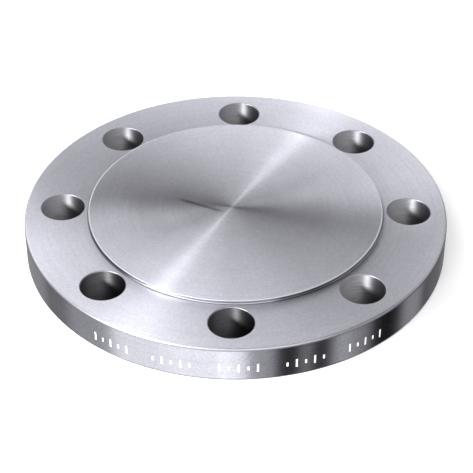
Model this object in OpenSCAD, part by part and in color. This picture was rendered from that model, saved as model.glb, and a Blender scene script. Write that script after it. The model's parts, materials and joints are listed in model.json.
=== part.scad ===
// Blind flange: one forged disc, turned all over, drilled for eight bolts and stamped on its rim.
// It lies on its back face, with the raised gasket face up. The origin is at the centre of the
// back face, and one bolt hole is on +X.

/* [Disc] */
// Outside diameter
flange_d = 225; // [210:1:260]
// Thickness of the bolting ring, without the raised face
ring_t = 20; // [14:0.5:30]
// Radius of the rounded outer edges, front and back
rim_round = 1.2; // [0.4:0.1:3]

/* [Raised face] */
// Diameter of the raised gasket face
face_d = 157; // [100:1:158]
// Height of the raised face above the ring
face_h = 2; // [1:0.1:4]
// Bevel on the edge of the raised face
face_bevel = 0.3; // [0.1:0.05:0.5]
// Fillet that the turning tool leaves at the foot of the raised face
foot_fillet = 0.8; // [0.2:0.1:0.9]

/* [Bolt holes] */
// Number of bolt holes
bolt_count = 8; // [4:1:12]
// Diameter of the bolt circle
bolt_circle_d = 185; // [185:0.5:196]
// Diameter of each bolt hole
bolt_hole_d = 23; // [14:0.5:23]
// Bevel at both mouths of each bolt hole
hole_bevel = 0.5; // [0.1:0.1:0.6]

/* [Stamped marks] */
// Number of groups of strokes stamped along the front of the rim
mark_groups = 5; // [1:1:7]
// Angle between the middles of two neighbouring groups
group_pitch = 17; // [16:0.5:24]
// Strokes in each group
mark_strokes = 5; // [2:1:6]
// Angle between two neighbouring strokes
stroke_pitch = 2.4; // [2:0.1:2.8]
// Height of a tall stroke
stroke_h = 5; // [2:0.5:6]
// Width of a stroke
stroke_w = 1; // [0.6:0.1:1.4]
// Depth of a stroke below the rim
stroke_depth = 0.4; // [0.2:0.1:0.8]
// Height of the row's middle above the back face
mark_z = 8; // [6:0.5:9]

/* [Hidden] */
flange_r = flange_d / 2;
face_r = face_d / 2;
hole_r = bolt_hole_d / 2;
total_t = ring_t + face_h;
hole_step = 360 / bolt_count;
// A short stroke stands next to each tall one
short_h = stroke_h * 0.5;
// The row of marks is centred close to -Y
row_middle = -88;
// How far a cutting tool runs past a surface, so that no two faces coincide
past = 1;
$fn = 96;

// Half section of the bolting ring: a bar with two rounded outer corners
module ring_section() {
    square([flange_r - rim_round, ring_t]);
    translate([0, rim_round])
        square([flange_r, ring_t - 2 * rim_round]);
    for (z = [rim_round, ring_t - rim_round])
        translate([flange_r - rim_round, z])
            circle(r = rim_round);
}

// Half section of the raised face, with its bevel, standing on the ring
module face_section() {
    polygon([
        [0, 0],
        [face_r, 0],
        [face_r, total_t - face_bevel],
        [face_r - face_bevel, total_t],
        [0, total_t]
    ]);
}

// Half section of the fillet between the ring and the wall of the raised face
module foot_section() {
    translate([face_r, ring_t])
        difference() {
            translate([-foot_fillet, -foot_fillet])
                square(2 * foot_fillet);
            translate([foot_fillet, foot_fillet])
                circle(r = foot_fillet);
        }
}

module turned_disc() {
    rotate_extrude() {
        ring_section();
        face_section();
        foot_section();
    }
}

// What the drill and the countersink take out of one bolt hole
module bolt_hole() {
    translate([0, 0, -past])
        cylinder(h = ring_t + 2 * past, r = hole_r);
    mouth_bevel();
    translate([0, 0, ring_t])
        mirror([0, 0, 1])
            mouth_bevel();
}

// The bevel at the mouth of a hole that opens downwards
module mouth_bevel() {
    translate([0, 0, -past])
        cylinder(h = hole_bevel + past, r1 = hole_r + hole_bevel + past, r2 = hole_r);
}

module bolt_holes() {
    for (i = [0 : bolt_count - 1])
        rotate(i * hole_step)
            translate([bolt_circle_d / 2, 0, 0])
                bolt_hole();
}

// One stroke of the stamp, at the angle a round the rim
module stroke(a, h) {
    rotate(a)
        translate([flange_r - stroke_depth, -stroke_w / 2, mark_z - h / 2])
            cube([stroke_depth + past, stroke_w, h]);
}

// Groups of tall and short strokes, in place of any lettering
module rim_marks() {
    for (g = [0 : mark_groups - 1])
        for (s = [0 : mark_strokes - 1]) {
            group_a = (g - (mark_groups - 1) / 2) * group_pitch;
            stroke_a = (s - (mark_strokes - 1) / 2) * stroke_pitch;
            tall = (g + s) % 2 == 0;
            stroke(row_middle + group_a + stroke_a, tall ? stroke_h : short_h);
        }
}

// The whole flange is one piece of steel
module flange() {
    color("lightsteelblue")
        difference() {
            turned_disc();
            bolt_holes();
            rim_marks();
        }
}

flange();
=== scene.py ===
"""The looks of a steel blind flange, lying on its back on a pale floor with its raised face up.

The flange is one turned and drilled forging, so it is one mesh here too. Its sizes come from the
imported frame: the outside from the node's box, the bolt circle and the heights from the mounts.
The smaller ones repeat the CAD's. Lengths are in metres and angles in degrees.
"""

import json
from math import cos, pi, radians, sin

import bmesh
import bpy
from mathutils import Matrix, Vector


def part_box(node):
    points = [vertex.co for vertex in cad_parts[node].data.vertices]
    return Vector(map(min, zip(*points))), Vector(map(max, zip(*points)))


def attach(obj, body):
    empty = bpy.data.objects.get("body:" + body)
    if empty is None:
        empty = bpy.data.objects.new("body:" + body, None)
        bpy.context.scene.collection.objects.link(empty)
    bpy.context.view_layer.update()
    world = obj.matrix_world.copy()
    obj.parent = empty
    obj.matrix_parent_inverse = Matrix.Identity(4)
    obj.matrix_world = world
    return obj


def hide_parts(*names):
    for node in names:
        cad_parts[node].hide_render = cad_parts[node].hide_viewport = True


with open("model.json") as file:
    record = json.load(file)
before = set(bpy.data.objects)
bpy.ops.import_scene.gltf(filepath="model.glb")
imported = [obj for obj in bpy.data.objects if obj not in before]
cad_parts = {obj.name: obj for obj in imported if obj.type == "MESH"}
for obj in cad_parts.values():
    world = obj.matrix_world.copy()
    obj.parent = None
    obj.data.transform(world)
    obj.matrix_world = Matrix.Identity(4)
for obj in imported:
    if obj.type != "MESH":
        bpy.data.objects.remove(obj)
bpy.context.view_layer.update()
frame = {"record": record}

# ---------------------------------------------------------------- sizes

MOUNTS = {mount["name"]: mount for mount in frame["record"]["mounts"]}
BOLTS = MOUNTS["bolt_circle"]["dims"]
FLANGE_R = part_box("flange")[1].y
RING_Z = MOUNTS["bolt_circle"]["pos_m"][2]
TOP_Z = MOUNTS["gasket_face"]["pos_m"][2]
BOLT_CIRCLE_R = BOLTS["pcd_mm"] / 2000
BOLT_COUNT = BOLTS["count"]
HOLE_R = BOLTS["hole_r_mm"] / 1000

# The raised face and the edges. The CAD's small bevels, on the face and the holes, are rounded here.
FACE_R = 0.0785
RIM_ROUND = 0.0012
FACE_ROUND = 0.0003
FOOT_FILLET = 0.0008
HOLE_BEVEL = 0.0005
# A band of the raised face at its edge, lighter and rougher: a painted highlight along the edge
PAINTED_HIGHLIGHT_W = 0.0007
# The rounding of the rim looks like an edge outside this radius
RIM_EDGE_R = FLANGE_R - RIM_ROUND / 3

ROUND_STEPS = 6
DISC_SIDES = 384
HOLE_SIDES = 96
# The drills are turned by part of a step, so that none of their corners falls on an edge of the disc
DRILL_FIRST = 0.37
WELD = 0.000001
SHARP_ANGLE = 40

# The stamped strokes on the rim, as the CAD has them
MARK_GROUPS = 5
GROUP_PITCH = 17
MARK_STROKES = 5
STROKE_PITCH = 2.4
STROKE_H = 0.005
STROKE_W = 0.001
STROKE_DEPTH = 0.0004
MARK_Z = 0.008
ROW_MIDDLE = -88


# ---------------------------------------------------------------- finishes

STEEL = (0.61, 0.61, 0.68)
GROOVE_PITCH = 0.0008
GROOVE_DEPTH = 0.0000005
RIM_GROOVE_DEPTH = 0.0000003
# How fast the fine and the broad unevenness change round the flange, and the broad one across it
FINE_AROUND = 1.5
BROAD_AROUND = 2.5
BROAD_ACROSS = 60
# The noise mostly stays between these two
NOISE_LOW = 0.3
NOISE_HIGH = 0.7
WEAR = 0.08
ROUGHNESS_CHANGE = 0.04
GRAIN_SIZE = 0.0012
GRAIN_DEPTH = 0.07
# Highlights stretch along the tangent, and this part of a full turn makes them cross it
QUARTER_TURN = 0.25
# The middle of the raised face's tool marks, slightly off the axis of the flange
FACE_TURNING = (-0.0018, -0.0004)

STREAK_START = (-0.004, -0.006, 0)
STREAK_ANGLE = 156
STREAK_L = 0.032
STREAK_HALF_W = 0.0021
STREAK_FADE = 0.008
STREAK_SHADE = 0.45

# The bores' steel is darker than the rest: painted shade inside the holes
BORE_SHADE = (0.36, 0.36, 0.38)
BORE_ROUGHNESS = 0.6
BORE_STRETCH = 0.92
# How fast the drill's marks change along x, y and z, and how deep they are
DRILL_MARKS = (120, 120, 2500)
DRILL_MARK_DEPTH = 0.000004
DRILL_MARK_CONTRAST = 0.15
# The scratches of the drill climb at an angle, given as a part of a full turn
HELIX_TURN = 0.066
# Painted shade darkens the bores along this direction, between two distances from the middle of the
# flange
PAINTED_SHADE_WAY = (-0.35, -0.94, 0)
PAINTED_SHADE_START = 0.045
PAINTED_SHADE_END = 0.085
PAINTED_SHADE_DARKEST = 0.2

# The edges are a darker copy of the steel: painted shade that dims the glints on the roundings and lips
EDGE_SHADE = (0.36, 0.36, 0.4)
EDGE_ROUGHNESS = 0.45
# The band at the face's edge is lighter steel: a painted highlight
PAINTED_HIGHLIGHT_SHADE = (0.68, 0.68, 0.74)
PAINTED_HIGHLIGHT_ROUGHNESS = 0.6
STROKE_SHADE = (0.88, 0.88, 0.88)
STROKE_ROUGHNESS = 0.6

STEP_SHADE = (0.6, 0.6, 0.66)
STEP_ROUGHNESS = 0.3
# Painted shade darkens the step at these distances from this x; it is darkest between the middle two
UNSHADED_X = -0.0155
PAINTED_SHADE_SPAN = (0.033, 0.042, 0.056, 0.074)
UNSHADED_STEP = 0.6
SHADED_STEP = 0.2
HALF_SHADED_STEP = 0.5


# ---------------------------------------------------------------- materials

def add(tree, kind, inputs=None, **settings):
    """A node with its settings, and its inputs set to values or linked from sockets."""
    node = tree.nodes.new(kind)
    for key, value in settings.items():
        setattr(node, key, value)
    for key, value in (inputs or {}).items():
        if isinstance(value, bpy.types.NodeSocket):
            tree.links.new(value, node.inputs[key])
        else:
            node.inputs[key].default_value = value
    return node


def math(tree, operation, *values):
    """The output of a maths node on numbers or sockets."""
    return add(tree, "ShaderNodeMath", dict(enumerate(values)), operation=operation).outputs[0]


def vectors(tree, operation, *values, output="Vector"):
    """One output of a vector maths node on vectors or sockets."""
    inputs = dict(enumerate(values))
    return add(tree, "ShaderNodeVectorMath", inputs, operation=operation).outputs[output]


def scaled(tree, vector, factor):
    """A vector or a colour times a number."""
    inputs = {0: vector, "Scale": factor}
    return add(tree, "ShaderNodeVectorMath", inputs, operation="SCALE").outputs["Vector"]


def remap(tree, value, start, end, low, high, kind="LINEAR"):
    """A value that runs from low to high while the given one runs from start to end."""
    inputs = {"Value": value, "From Min": start, "From Max": end, "To Min": low, "To Max": high}
    return add(tree, "ShaderNodeMapRange", inputs, interpolation_type=kind).outputs["Result"]


def noise(tree, place, detail):
    """Smooth unevenness, about 0.5, over coordinates in which its patches are about 1 wide."""
    inputs = {"Vector": place, "Scale": 1, "Detail": detail}
    return add(tree, "ShaderNodeTexNoise", inputs).outputs["Fac"]


def around_one(tree, unevenness, change):
    """Noise as a factor that is about 1, and mostly changes by no more than this."""
    return remap(tree, unevenness, NOISE_LOW, NOISE_HIGH, 1 - change, 1 + change)


def object_place(tree):
    """Where a point lies in the flange's own frame, in metres."""
    return add(tree, "ShaderNodeTexCoord").outputs["Object"]


def turned_place(tree, centre):
    """Distance from the turning axis, the way along the tool marks, and a maker of noise coordinates."""
    parts = add(tree, "ShaderNodeSeparateXYZ", {0: object_place(tree)}).outputs
    x = math(tree, "SUBTRACT", parts["X"], centre[0])
    y = math(tree, "SUBTRACT", parts["Y"], centre[1])
    flat = add(tree, "ShaderNodeCombineXYZ", {"X": x, "Y": y}).outputs[0]
    radius = vectors(tree, "LENGTH", flat, output="Value")
    turn = add(tree, "ShaderNodeSeparateXYZ", {0: vectors(tree, "NORMALIZE", flat)}).outputs
    back = math(tree, "MULTIPLY", turn["Y"], -1)
    tangent = add(tree, "ShaderNodeCombineXYZ", {"X": back, "Y": turn["X"]}).outputs[0]
    depth = math(tree, "ADD", radius, parts["Z"])

    def coordinates(across, around):
        inputs = {
            "X": math(tree, "MULTIPLY", depth, across),
            "Y": math(tree, "MULTIPLY", turn["X"], around),
            "Z": math(tree, "MULTIPLY", turn["Y"], around),
        }
        return add(tree, "ShaderNodeCombineXYZ", inputs).outputs[0]

    return radius, tangent, coordinates


def grain(tree):
    """Fine mottling of the metal, about 1."""
    small = scaled(tree, object_place(tree), 1 / GRAIN_SIZE)
    return around_one(tree, noise(tree, small, 2), GRAIN_DEPTH)


def new_material(name):
    """A material with nodes, its tree and its Principled shader."""
    made = bpy.data.materials.new(name)
    made.use_nodes = True
    return made, made.node_tree, made.node_tree.nodes["Principled BSDF"]


def dark_streak(tree):
    """A faint dark streak beside the middle of the face: 1 away from it, less on it."""
    apart = vectors(tree, "SUBTRACT", object_place(tree), STREAK_START)
    turn = radians(STREAK_ANGLE)
    along = vectors(tree, "DOT_PRODUCT", apart, (cos(turn), sin(turn), 0), output="Value")
    across = vectors(tree, "DOT_PRODUCT", apart, (-sin(turn), cos(turn), 0), output="Value")
    beside = remap(tree, math(tree, "ABSOLUTE", across), 0, STREAK_HALF_W, 1, 0, "SMOOTHSTEP")
    begun = remap(tree, along, 0, STREAK_FADE, 0, 1, "SMOOTHSTEP")
    ended = remap(tree, along, STREAK_L - STREAK_FADE, STREAK_L, 1, 0, "SMOOTHSTEP")
    depth = math(tree, "MULTIPLY", math(tree, "MULTIPLY", beside, begun), ended)
    return remap(tree, depth, 0, 1, 1, STREAK_SHADE)


def turned_steel(name, roughness, stretch, inner, outer, groove_depth, face=False):
    """Steel with the fine rings of a lathe tool, which stretch its highlights across the rings.

    inner and outer are pairs of a radius and the brightness there; between them runs a painted ramp,
    painted shade toward the middle and painted sheen toward the edge. The raised face also has a
    dark streak, and tool marks with a middle of their own.
    """
    made, tree, shader = new_material(name)
    radius, tangent, coordinates = turned_place(tree, FACE_TURNING if face else (0, 0))
    fine = noise(tree, coordinates(1 / GROOVE_PITCH, FINE_AROUND), 3)
    broad = noise(tree, coordinates(BROAD_ACROSS, BROAD_AROUND), 2)
    # A painted ramp: painted shade toward the middle, painted sheen toward the edge
    painted_ramp = remap(tree, radius, inner[0], outer[0], inner[1], outer[1])
    both = math(tree, "ADD", fine, broad)
    wear = remap(tree, both, 2 * NOISE_LOW, 2 * NOISE_HIGH, 1 - WEAR, 1 + WEAR)
    scale = math(tree, "MULTIPLY", math(tree, "MULTIPLY", painted_ramp, wear), grain(tree))
    if face:
        scale = math(tree, "MULTIPLY", scale, dark_streak(tree))
    low = roughness * (1 - ROUGHNESS_CHANGE)
    high = roughness * (1 + ROUGHNESS_CHANGE)
    bump = add(tree, "ShaderNodeBump", {"Height": fine, "Distance": groove_depth, "Strength": 1})
    shader.inputs["Metallic"].default_value = 1
    shader.inputs["Anisotropic"].default_value = stretch
    shader.inputs["Anisotropic Rotation"].default_value = QUARTER_TURN
    tree.links.new(scaled(tree, STEEL, scale), shader.inputs["Base Color"])
    tree.links.new(remap(tree, broad, NOISE_LOW, NOISE_HIGH, low, high), shader.inputs["Roughness"])
    tree.links.new(bump.outputs["Normal"], shader.inputs["Normal"])
    tree.links.new(tangent, shader.inputs["Tangent"])
    return made


def drilled_steel():
    """The bores. Drill marks stretch their highlights up and down, and painted shade darkens the front
    ones.
    """
    made, tree, shader = new_material("drilled_bore")
    place = object_place(tree)
    marks = noise(tree, vectors(tree, "MULTIPLY", place, DRILL_MARKS), 2)
    toward = vectors(tree, "DOT_PRODUCT", place, PAINTED_SHADE_WAY, output="Value")
    # Painted shade, darkest in the front holes
    painted_shade = remap(tree, toward, PAINTED_SHADE_START, PAINTED_SHADE_END, 1, PAINTED_SHADE_DARKEST)
    shade = math(tree, "MULTIPLY", around_one(tree, marks, DRILL_MARK_CONTRAST), painted_shade)
    bump = add(tree, "ShaderNodeBump", {"Height": marks, "Distance": DRILL_MARK_DEPTH, "Strength": 1})
    upright = add(tree, "ShaderNodeCombineXYZ", {"Z": 1}).outputs[0]
    shader.inputs["Metallic"].default_value = 1
    shader.inputs["Roughness"].default_value = BORE_ROUGHNESS
    shader.inputs["Anisotropic"].default_value = BORE_STRETCH
    shader.inputs["Anisotropic Rotation"].default_value = HELIX_TURN
    tree.links.new(scaled(tree, BORE_SHADE, shade), shader.inputs["Base Color"])
    tree.links.new(bump.outputs["Normal"], shader.inputs["Normal"])
    tree.links.new(upright, shader.inputs["Tangent"])
    return made


def step_steel():
    """The small wall round the raised face, with painted shade along most of it."""
    made, tree, shader = new_material("step_wall")
    x = add(tree, "ShaderNodeSeparateXYZ", {0: object_place(tree)}).outputs["X"]
    off = math(tree, "ABSOLUTE", math(tree, "SUBTRACT", x, UNSHADED_X))
    # Painted shade: darkest between the middle two distances, lighter again beyond them
    start = remap(tree, off, PAINTED_SHADE_SPAN[0], PAINTED_SHADE_SPAN[1], UNSHADED_STEP, SHADED_STEP, "SMOOTHSTEP")
    end = remap(tree, off, PAINTED_SHADE_SPAN[2], PAINTED_SHADE_SPAN[3], SHADED_STEP, HALF_SHADED_STEP, "SMOOTHSTEP")
    shade = math(tree, "MAXIMUM", start, end)
    shader.inputs["Metallic"].default_value = 1
    shader.inputs["Roughness"].default_value = STEP_ROUGHNESS
    tree.links.new(scaled(tree, STEP_SHADE, shade), shader.inputs["Base Color"])
    return made


def plain(name, shade, metallic, roughness, glow=0):
    """One even colour, for small trim and the stage."""
    made, _, shader = new_material(name)
    shader.inputs["Base Color"].default_value = (*shade, 1)
    shader.inputs["Metallic"].default_value = metallic
    shader.inputs["Roughness"].default_value = roughness
    shader.inputs["Emission Color"].default_value = (1, 1, 1, 1)
    shader.inputs["Emission Strength"].default_value = glow
    return made


# Turned steel has a roughness, a stretch of its highlights, its brightness at two radii, with a painted
# ramp of shade and sheen between them, and the depth of its grooves
FACE, RING, RIM, BORE, EDGE, STROKE, STEP, PAINTED_HIGHLIGHT = range(8)
FINISHES = (
    turned_steel("turned_face", 0.3, 0.98, (0, 0.49), (FACE_R, 1.05), GROOVE_DEPTH, face=True),
    turned_steel("turned_ring", 0.4, 0.85, (FACE_R, 0.85), (FLANGE_R, 1.17), GROOVE_DEPTH),
    turned_steel("turned_rim", 0.19, 0.3, (0, 1), (FLANGE_R, 1), RIM_GROOVE_DEPTH),
    drilled_steel(),
    plain("edge", EDGE_SHADE, 1, EDGE_ROUGHNESS),
    plain("stroke_fill", STROKE_SHADE, 0, STROKE_ROUGHNESS),
    step_steel(),
    plain("rubbed_edge", PAINTED_HIGHLIGHT_SHADE, 1, PAINTED_HIGHLIGHT_ROUGHNESS),
)


# ---------------------------------------------------------------- mesh helpers

def arc(centre_r, centre_z, radius, start, end, steps=ROUND_STEPS):
    """Points of an arc in the half section, from one angle to another."""
    angles = [radians(start + (end - start) * i / steps) for i in range(steps + 1)]
    return [(centre_r + radius * cos(a), centre_z + radius * sin(a)) for a in angles]


def revolve(shape, section, sides, finish_at, centre=(0, 0), first=0):
    """Adds a closed solid turned from a half section whose first and last points lie on the axis.

    finish_at gives the finish of the band between two points of the section, and first is the place
    of the first corner, in steps between corners.
    """
    rings = []
    for r, z in section[1:-1]:
        angles = [2 * pi * (i + first) / sides for i in range(sides)]
        places = [(centre[0] + r * cos(a), centre[1] + r * sin(a), z) for a in angles]
        rings.append([shape.verts.new(place) for place in places])
    for k in range(len(rings) - 1):
        finish = finish_at(section[k + 1], section[k + 2])
        for i in range(sides):
            j = (i + 1) % sides
            corners = (rings[k][i], rings[k][j], rings[k + 1][j], rings[k + 1][i])
            shape.faces.new(corners).material_index = finish
    first_cap = (rings[0], section[0], section[1])
    last_cap = (rings[-1], section[-1], section[-2])
    for ring, end, near in (first_cap, last_cap):
        tip = shape.verts.new((*centre, end[1]))
        for i in range(sides):
            corners = (ring[i], ring[(i + 1) % sides], tip)
            shape.faces.new(corners).material_index = finish_at(near, end)


def new_object(name, shape):
    """A mesh object in the scene from a bmesh, which is freed."""
    bmesh.ops.recalc_face_normals(shape, faces=shape.faces)
    mesh = bpy.data.meshes.new(name)
    shape.to_mesh(mesh)
    shape.free()
    made = bpy.data.objects.new(name, mesh)
    bpy.context.scene.collection.objects.link(made)
    return made


def cut(target, cutter):
    """Takes the cutter's shape out of the target, and deletes the cutter."""
    modifier = target.modifiers.new("cut", "BOOLEAN")
    modifier.operation = "DIFFERENCE"
    modifier.solver = "EXACT"
    modifier.object = cutter
    bpy.context.view_layer.objects.active = target
    bpy.ops.object.modifier_apply(modifier=modifier.name)
    bpy.data.objects.remove(cutter)


def weld(target):
    """Joins corners that a cut has left almost on top of each other."""
    shape = bmesh.new()
    shape.from_mesh(target.data)
    bmesh.ops.remove_doubles(shape, verts=shape.verts, dist=WELD)
    shape.to_mesh(target.data)
    shape.free()


# ---------------------------------------------------------------- the flange

def disc_section():
    """Half section of the turned disc, from the middle of the back round to the middle of the face."""
    outer = FLANGE_R - RIM_ROUND
    back_loops = [(0, 0)] + [(FLANGE_R * share, 0) for share in (0.1, 0.4, 0.7)]
    rim = arc(outer, RIM_ROUND, RIM_ROUND, -90, 0) + arc(outer, RING_Z - RIM_ROUND, RIM_ROUND, 0, 90)
    foot = arc(FACE_R + FOOT_FILLET, RING_Z + FOOT_FILLET, FOOT_FILLET, -90, -180)
    edge = arc(FACE_R - FACE_ROUND, TOP_Z - FACE_ROUND, FACE_ROUND, 0, 90)
    painted_highlight = [(FACE_R - PAINTED_HIGHLIGHT_W, TOP_Z)]
    face_loops = [(FACE_R * share, TOP_Z) for share in (0.8, 0.5, 0.2, 0.05)] + [(0, TOP_Z)]
    return back_loops + rim + foot + edge + painted_highlight + face_loops


def disc_finish(low, high):
    """Which finish the disc has between two points of its section."""
    r = (low[0] + high[0]) / 2
    z = (low[1] + high[1]) / 2
    if r > RIM_EDGE_R:
        return RIM if high[1] - low[1] > RING_Z / 2 else EDGE
    if r > FACE_R + FOOT_FILLET or z < RING_Z:
        return RING
    if r < FACE_R - PAINTED_HIGHLIGHT_W:
        return FACE
    return PAINTED_HIGHLIGHT if z > TOP_Z - FACE_ROUND else STEP


def drill_section():
    """Half section of a drill with a rounded countersink at both ends."""
    past = 2 * HOLE_BEVEL
    flare_r = HOLE_R + HOLE_BEVEL
    low = arc(flare_r, HOLE_BEVEL, HOLE_BEVEL, -90, -180)
    high = arc(flare_r, RING_Z - HOLE_BEVEL, HOLE_BEVEL, 180, 90)
    return [(0, -past), (flare_r, -past)] + low + high + [(flare_r, RING_Z + past), (0, RING_Z + past)]


def drill_finish(low, high):
    """The straight wall of a hole is bored, and its rounded ends are edges."""
    return BORE if abs(high[1] - low[1]) > RING_Z / 2 else EDGE


def make_drills():
    shape = bmesh.new()
    for i in range(BOLT_COUNT):
        a = 2 * pi * i / BOLT_COUNT
        centre = (BOLT_CIRCLE_R * cos(a), BOLT_CIRCLE_R * sin(a))
        revolve(shape, drill_section(), HOLE_SIDES, drill_finish, centre, DRILL_FIRST)
    return shape


def make_stamps():
    """Small blocks that stamp the row of strokes into the rim."""
    shape = bmesh.new()
    for group in range(MARK_GROUPS):
        for stroke in range(MARK_STROKES):
            angle = ROW_MIDDLE + (group - (MARK_GROUPS - 1) / 2) * GROUP_PITCH
            angle += (stroke - (MARK_STROKES - 1) / 2) * STROKE_PITCH
            height = STROKE_H if (group + stroke) % 2 == 0 else STROKE_H / 2
            size = Matrix.Diagonal((2 * STROKE_DEPTH, STROKE_W, height, 1))
            place = Matrix.Translation((FLANGE_R, 0, MARK_Z))
            turn = Matrix.Rotation(radians(angle), 4, "Z")
            bmesh.ops.create_cube(shape, size=1, matrix=turn @ place @ size)
    for face in shape.faces:
        face.material_index = STROKE
    return shape


def make_flange():
    shape = bmesh.new()
    revolve(shape, disc_section(), DISC_SIDES, disc_finish)
    flange = new_object("flange_body", shape)
    cutters = [new_object("drills", make_drills()), new_object("stamps", make_stamps())]
    for item in (flange, *cutters):
        for finish in FINISHES:
            item.data.materials.append(finish)
    for cutter in cutters:
        cut(flange, cutter)
    weld(flange)
    for face in flange.data.polygons:
        face.use_smooth = True
    flange.data.set_sharp_from_angle(angle=radians(SHARP_ANGLE))
    modifier = flange.modifiers.new("flat_faces", "WEIGHTED_NORMAL")
    modifier.keep_sharp = True
    modifier.weight = 100
    return flange


flange = make_flange()
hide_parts("flange")
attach(flange, "root")

# ---------------------------------------------------------------- the studio

FLOOR_HALF = 3
FLOOR_SHADE = (0.97, 0.97, 0.97)
# Fills in most of the flange's shadow on the floor
FLOOR_GLOW = 0.2
# A dark plate under the flange: painted shade, seen through the holes and mirrored in the bores
PLATE_R = 0.108
PLATE_Z = 0.00005
PLATE_SHADE = (0.1, 0.1, 0.1)
PLATE_SIDES = 64

# A tent of light, bright in a round patch behind the flange and dimmer elsewhere. The patch, and
# the soft-edged flags that darken the tent, have an azimuth, an elevation and a radius.
TENT = 3
BACK_TENT = 0.8
TENT_SPAN = (90, 35, 25)
FLAGS = (
    (70, 35, 18),
    (105, 35, 11),
    (25, 75, 35),
)
# Soft round lights in front of the tent: azimuth, elevation, radius and brightness. The last one is
# the key light.
SOFT_LIGHTS = (
    (125, 35, 9, 2.5),
    (75, 30, 6, 2),
    (290, 45, 25, 1.5),
    (240, 45, 12, 6),
    (218, 24, 5, 170),
)
SOFTNESS = 0.35

# Upright strips from just above the horizon to the bottom of the sky, which the rim mirrors: azimuth,
# half width, softness and brightness
STRIPS = (
    (123, 23, 4, 0.32),
    (158, 10, 5, 0.2),
    (184, 16, 5, 0.4),
    (216, 16, 4, 1.15),
    (248, 16, 5, 1.35),
    (270, 7, 3, 1.4),
    (285, 8, 3, 0.45),
    (310, 4, 2, 0.25),
    (332, 6, 3, 0.5),
    (344, 6, 3, 0.3),
    (24, 10, 4, 0.35),
    (47, 8, 4, 0.15),
    (72, 15, 9, 0.22),
)
# The strips give way to the tent at this elevation, over this much of its sine each way
HORIZON = 6
HORIZON_SOFTNESS = 0.05


def make_floor():
    """A wide pale floor, which mirrored rays pass through, so that they see the strips below."""
    shape = bmesh.new()
    bmesh.ops.create_grid(shape, x_segments=1, y_segments=1, size=FLOOR_HALF)
    floor = new_object("floor", shape)
    floor.data.materials.append(plain("pale_floor", FLOOR_SHADE, 0, 1, FLOOR_GLOW))
    floor.visible_glossy = False


def make_shade_plate():
    """A round dark plate hidden under the flange: painted shade that closes the holes for mirrored rays.
    """
    shape = bmesh.new()
    bmesh.ops.create_circle(shape, cap_ends=True, segments=PLATE_SIDES, radius=PLATE_R)
    plate = new_object("plate", shape)
    plate.location.z = PLATE_Z
    plate.data.materials.append(plain("plate_grey", PLATE_SHADE, 0, 1))


def round_patch(tree, toward, place, inside, outside):
    """A value with a soft round patch at an azimuth and elevation, of a given radius."""
    azimuth, elevation, radius = place
    level = cos(radians(elevation))
    middle = (level * cos(radians(azimuth)), level * sin(radians(azimuth)), sin(radians(elevation)))
    angle = math(tree, "ARCCOSINE", vectors(tree, "DOT_PRODUCT", toward, middle, output="Value"))
    inner = radians(radius * (1 - SOFTNESS))
    outer = radians(radius * (1 + SOFTNESS))
    return remap(tree, angle, inner, outer, inside, outside, "SMOOTHSTEP")


def strip_light(tree, heading, strip):
    """The brightness of one upright strip in a direction with this heading, in radians."""
    azimuth, half_width, softness, brightness = strip
    apart = math(tree, "WRAP", math(tree, "SUBTRACT", heading, radians(azimuth)), pi, -pi)
    angle = math(tree, "ABSOLUTE", apart)
    inner = radians(half_width - softness)
    outer = radians(half_width + softness)
    return remap(tree, angle, inner, outer, brightness, 0, "SMOOTHSTEP")


def mix(tree, factor, start, end):
    """A number that is start where the factor is 0 and end where it is 1."""
    inputs = {"Factor": factor, "A": start, "B": end}
    return add(tree, "ShaderNodeMix", inputs, data_type="FLOAT").outputs[0]


def make_world():
    """White for the camera; the tent and lights above and the strips below for everything else."""
    world = bpy.data.worlds.new("studio")
    bpy.context.scene.world = world
    world.use_nodes = True
    tree = world.node_tree
    toward = add(tree, "ShaderNodeTexCoord").outputs["Generated"]
    parts = add(tree, "ShaderNodeSeparateXYZ", {0: toward}).outputs
    heading = math(tree, "ARCTAN2", parts["Y"], parts["X"])
    above = round_patch(tree, toward, TENT_SPAN, TENT, BACK_TENT)
    for flag in FLAGS:
        above = math(tree, "MULTIPLY", above, round_patch(tree, toward, flag, 0, 1))
    for light in SOFT_LIGHTS:
        above = math(tree, "ADD", above, round_patch(tree, toward, light[:3], light[3], 0))
    below = 0
    for strip in STRIPS:
        below = math(tree, "ADD", below, strip_light(tree, heading, strip))
    low = sin(radians(HORIZON)) - HORIZON_SOFTNESS
    high = sin(radians(HORIZON)) + HORIZON_SOFTNESS
    rise = remap(tree, parts["Z"], low, high, 0, 1, "SMOOTHSTEP")
    seen = add(tree, "ShaderNodeLightPath").outputs["Is Camera Ray"]
    strength = mix(tree, seen, mix(tree, rise, below, above), 1)
    background = tree.nodes["Background"]
    background.inputs["Color"].default_value = (1, 1, 1, 1)
    tree.links.new(strength, background.inputs["Strength"])


make_floor()
make_shade_plate()
make_world()

# ---------------------------------------------------------------- the camera

# In millimetres
LENS = 120
SENSOR_W = 36
# The camera's distance from the middle of the ring, its elevation, its turn to the right, and the
# point that it looks at
DISTANCE = 0.844
ELEVATION = 36.8
TURN = 1.3
AIM = Vector((0.001, -0.0238, RING_Z))


def make_camera():
    data = bpy.data.cameras.new("camera")
    data.lens = LENS
    data.sensor_width = SENSOR_W
    camera = bpy.data.objects.new("camera", data)
    bpy.context.scene.collection.objects.link(camera)
    across = cos(radians(ELEVATION))
    back = Vector((across * sin(radians(TURN)), -across * cos(radians(TURN)), sin(radians(ELEVATION))))
    camera.location = Vector((0, 0, RING_Z)) + back * DISTANCE
    camera.rotation_mode = "QUATERNION"
    camera.rotation_quaternion = (AIM - camera.location).to_track_quat("-Z", "Y")
    bpy.context.scene.camera = camera


make_camera()
bpy.context.scene.view_settings.view_transform = "Standard"
